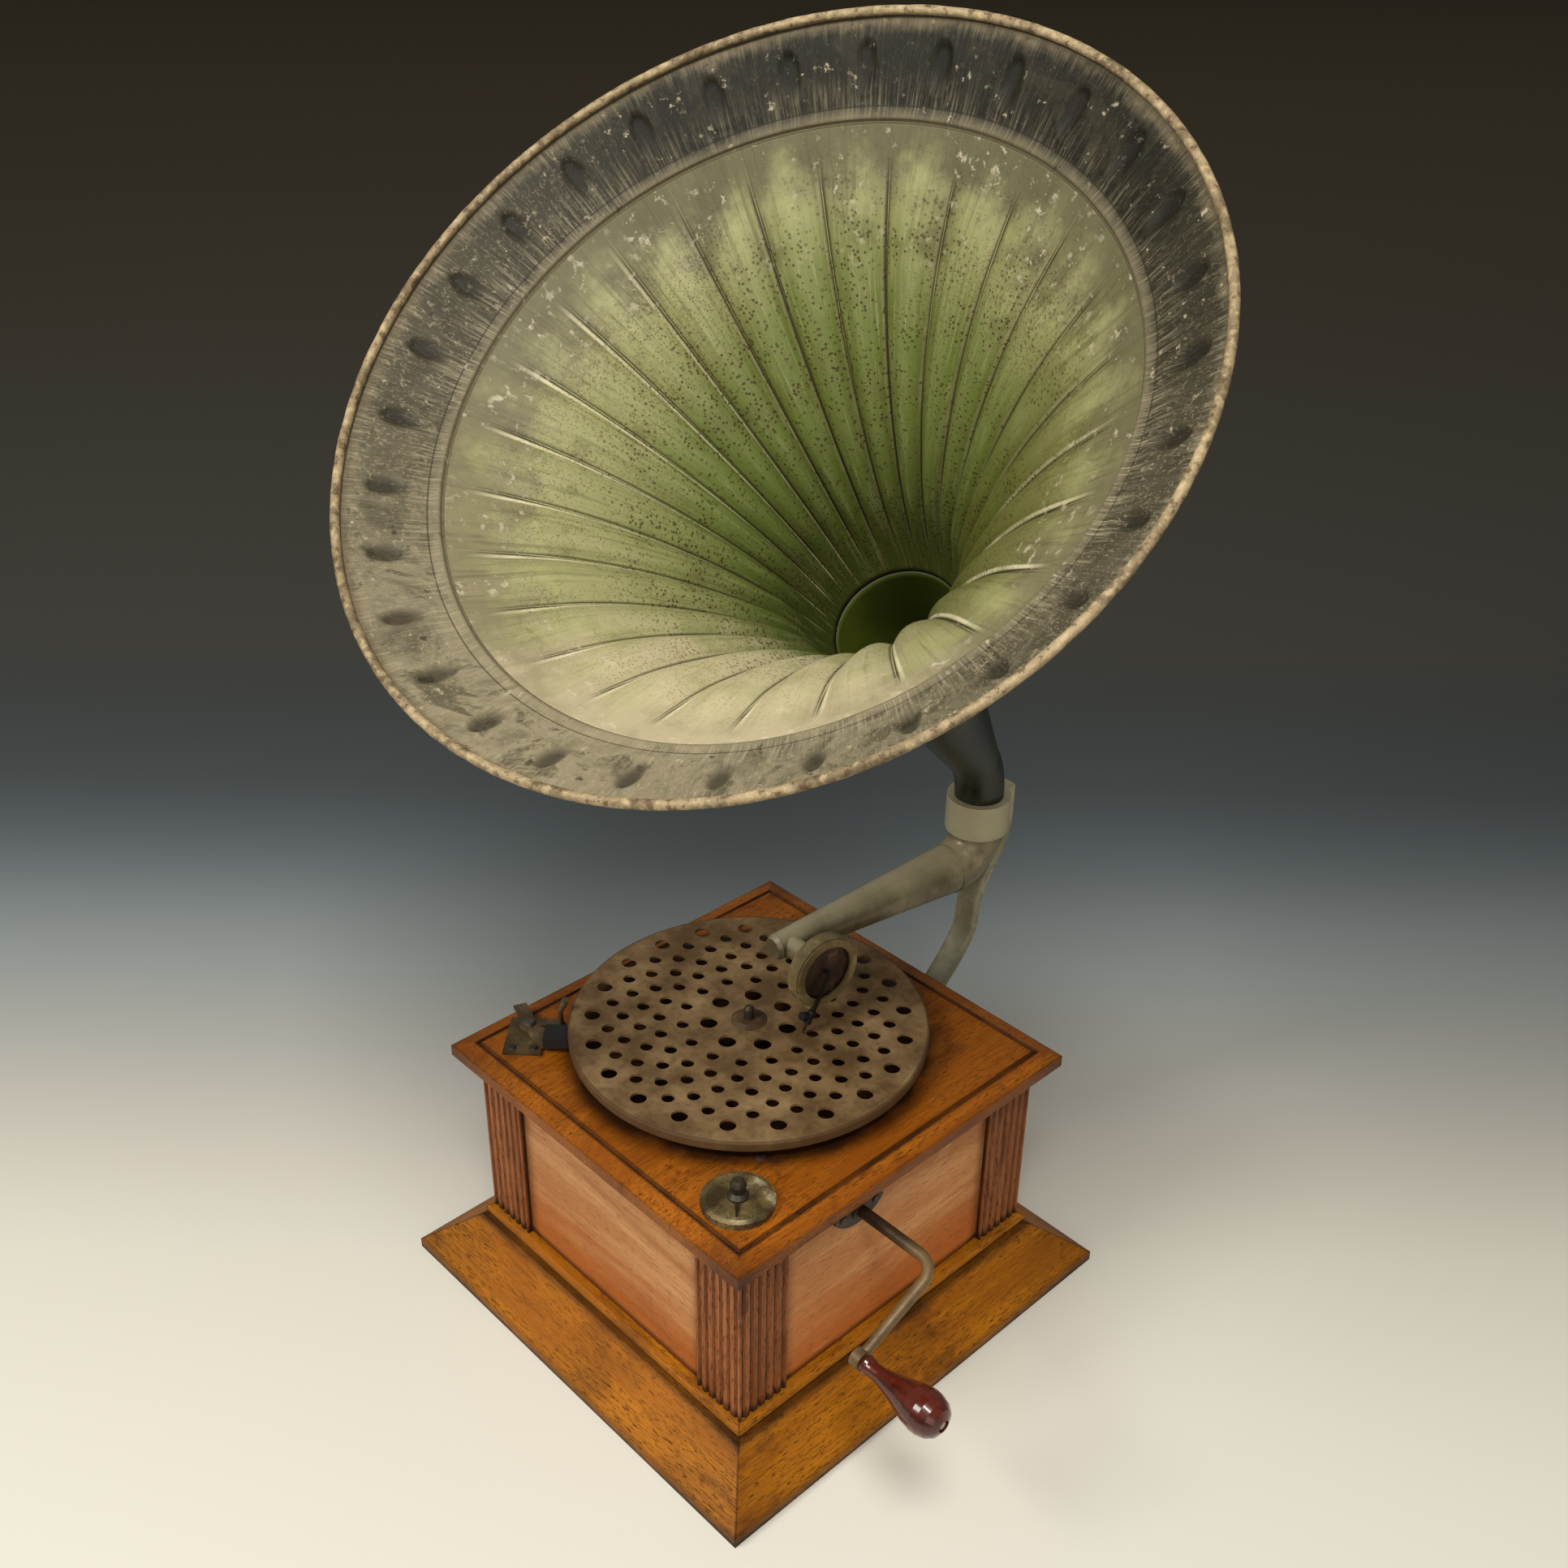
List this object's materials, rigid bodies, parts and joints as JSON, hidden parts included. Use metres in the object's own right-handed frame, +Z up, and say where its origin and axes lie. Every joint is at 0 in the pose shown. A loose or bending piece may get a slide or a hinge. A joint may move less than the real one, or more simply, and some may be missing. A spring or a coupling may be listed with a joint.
{
  "type": "gramophone",
  "caption": "Table gramophone with a reeded oak case, perforated turntable, cast back bracket, tone arm with sound box, side crank and large fluted horn.",
  "frame": {"origin": "centre of the case's flat underside, on the table", "axes": "+Z up, -Y the front of the case under the horn's mouth, +X the side that the crank is on"},
  "size_m": [0.487, 0.5206, 0.8683],
  "materials": {
    "oak_base": "golden oak, worn",
    "oak_panel": "reddish oak, worn",
    "oak_post": "dark oak, worn",
    "oak_lid": "orange-brown oak, worn",
    "pot_metal": "dull grey, cast",
    "steel": "drawn, bright",
    "blued": "blued",
    "brass": "machined",
    "patina": "worn nickel with olive patina",
    "crank_metal": "darkened steel",
    "grip_wood": "dark red-brown, polished",
    "horn_green": "faded green paint with rust speckles",
    "horn_dark": "dark green-black paint",
    "horn_edge": "tan, rubbed and rusty",
    "leather": "black leather",
    "mica": "dark mica"
  },
  "bodies": {
    "case": {"base_moulding_front": "oak_base", "base_moulding_back": "oak_base", "base_moulding_left": "oak_base", "base_moulding_right": "oak_base", "bottom_board": "oak_base", "corner_post_front_left": "oak_post", "corner_post_front_right": "oak_post", "corner_post_back_left": "oak_post", "corner_post_back_right": "oak_post", "panel_front": "oak_panel", "panel_back": "oak_panel", "panel_left": "oak_panel", "panel_right": "oak_panel", "lid_board": "oak_lid", "crank_escutcheon": "pot_metal", "motor_top_plate": "steel", "motor_bottom_plate": "steel", "motor_pillars": "steel", "motor_screws": "steel", "horn_bracket": "pot_metal", "bracket_screws": "steel", "brake_plate": "patina", "brake_screws": "steel", "speed_dial": "patina"},
    "crank": {"crank_rod": "crank_metal", "crank_pinion": "brass", "grip_pin": "steel"},
    "grip": {"crank_grip": "grip_wood"},
    "winding": {"spring_arbor": "steel", "crown_wheel": "brass", "ratchet_wheel": "steel"},
    "click": {"winding_click": "steel"},
    "barrel": {"spring_barrel": "brass", "barrel_cover": "brass", "mainspring": "blued"},
    "middle": {"middle_arbor": "steel", "middle_wheel": "brass"},
    "turntable": {"spindle": "steel", "turntable": "patina", "turntable_hub": "patina", "governor_wheel": "brass"},
    "governor": {"governor_shaft": "steel", "governor_weights": "brass", "governor_springs": "blued", "governor_disc": "brass"},
    "brake": {"brake_lever": "patina", "brake_pad": "leather"},
    "knob": {"speed_knob": "crank_metal"},
    "speed_lever": {"speed_lever": "steel", "speed_pad": "leather"},
    "tone_arm": {"tone_arm": "pot_metal"},
    "soundbox": {"soundbox_case": "patina", "diaphragm": "mica", "needle_bar": "patina", "needle": "steel"},
    "needle_screw": {"needle_screw": "steel"},
    "horn": {"horn_bell": "horn_green", "horn_rim": "horn_edge", "horn_elbow": "horn_dark"}
  },
  "joints": [
    {"name": "crank_turn", "type": "hinge", "parent": "case", "child": "crank", "pos_m": [0.136, -0.0315, 0.1615], "axis": [1, 0, 0], "continuous": true},
    {"name": "grip_spin", "type": "hinge", "parent": "crank", "child": "grip", "pos_m": [0.24, -0.09958, 0.13004], "axis": [1, 0, 0], "continuous": true},
    {"name": "winding_arbor_turn", "type": "hinge", "parent": "case", "child": "winding", "pos_m": [0.05, -0.0315, 0.15], "axis": [0, 0, 1], "continuous": true},
    {"name": "click_swing", "type": "hinge", "parent": "case", "child": "click", "pos_m": [0.0385, -0.01158, 0.165], "axis": [0, 0, 1], "range_deg": [0, 20]},
    {"name": "turntable_spin", "type": "hinge", "parent": "case", "child": "turntable", "pos_m": [-0.01, 0.002, 0.2], "axis": [0, 0, 1], "continuous": true},
    {"name": "middle_turn", "type": "hinge", "parent": "case", "child": "middle", "pos_m": [0.02469, 0.01162, 0.14], "axis": [0, 0, 1], "continuous": true},
    {"name": "barrel_turn", "type": "hinge", "parent": "case", "child": "barrel", "pos_m": [0.05, -0.0315, 0.11], "axis": [0, 0, 1], "continuous": true},
    {"name": "governor_spin", "type": "hinge", "parent": "case", "child": "governor", "pos_m": [-0.0201, -0.03004, 0.125], "axis": [0, 0, 1], "continuous": true},
    {"name": "brake_swing", "type": "hinge", "parent": "case", "child": "brake", "pos_m": [-0.12184, -0.10676, 0.205], "axis": [0, 0, -1], "range_deg": [0, 20]},
    {"name": "speed_knob_turn", "type": "hinge", "parent": "case", "child": "knob", "pos_m": [0.105, -0.113, 0.205], "axis": [0, 0, 1], "range_deg": [-60, 60]},
    {"name": "speed_lever_swing", "type": "hinge", "parent": "case", "child": "speed_lever", "pos_m": [0.034, -0.079, 0.111], "axis": [0, 0, 1], "range_deg": [-0.76, 0.76]},
    {"name": "tonearm_swing", "type": "hinge", "parent": "case", "child": "tone_arm", "pos_m": [0, 0.226, 0.289], "axis": [0, 0, 1], "range_deg": [-4, 42]},
    {"name": "soundbox_turn", "type": "hinge", "parent": "tone_arm", "child": "soundbox", "pos_m": [0.01642, 0.04183, 0.25936], "axis": [-0.9954, 0.0958, 0], "range_deg": [0, 150]},
    {"name": "needle_screw_turn", "type": "hinge", "parent": "soundbox", "child": "needle_screw", "pos_m": [0.02734, 0.02474, 0.22934], "axis": [-0.0846, -0.8789, 0.4695], "continuous": true},
    {"name": "horn_swivel", "type": "hinge", "parent": "case", "child": "horn", "pos_m": [0, 0.226, 0.317], "axis": [0, 0, 1], "continuous": true}
  ],
  "couplings": [
    {"joint": "winding_arbor_turn", "follows": "crank_turn", "ratio": 0.33333},
    {"joint": "middle_turn", "follows": "turntable_spin", "ratio": -0.2},
    {"joint": "barrel_turn", "follows": "turntable_spin", "ratio": 0.027273},
    {"joint": "governor_spin", "follows": "turntable_spin", "ratio": -6},
    {"joint": "speed_lever_swing", "follows": "speed_knob_turn", "ratio": 0.0125}
  ]
}
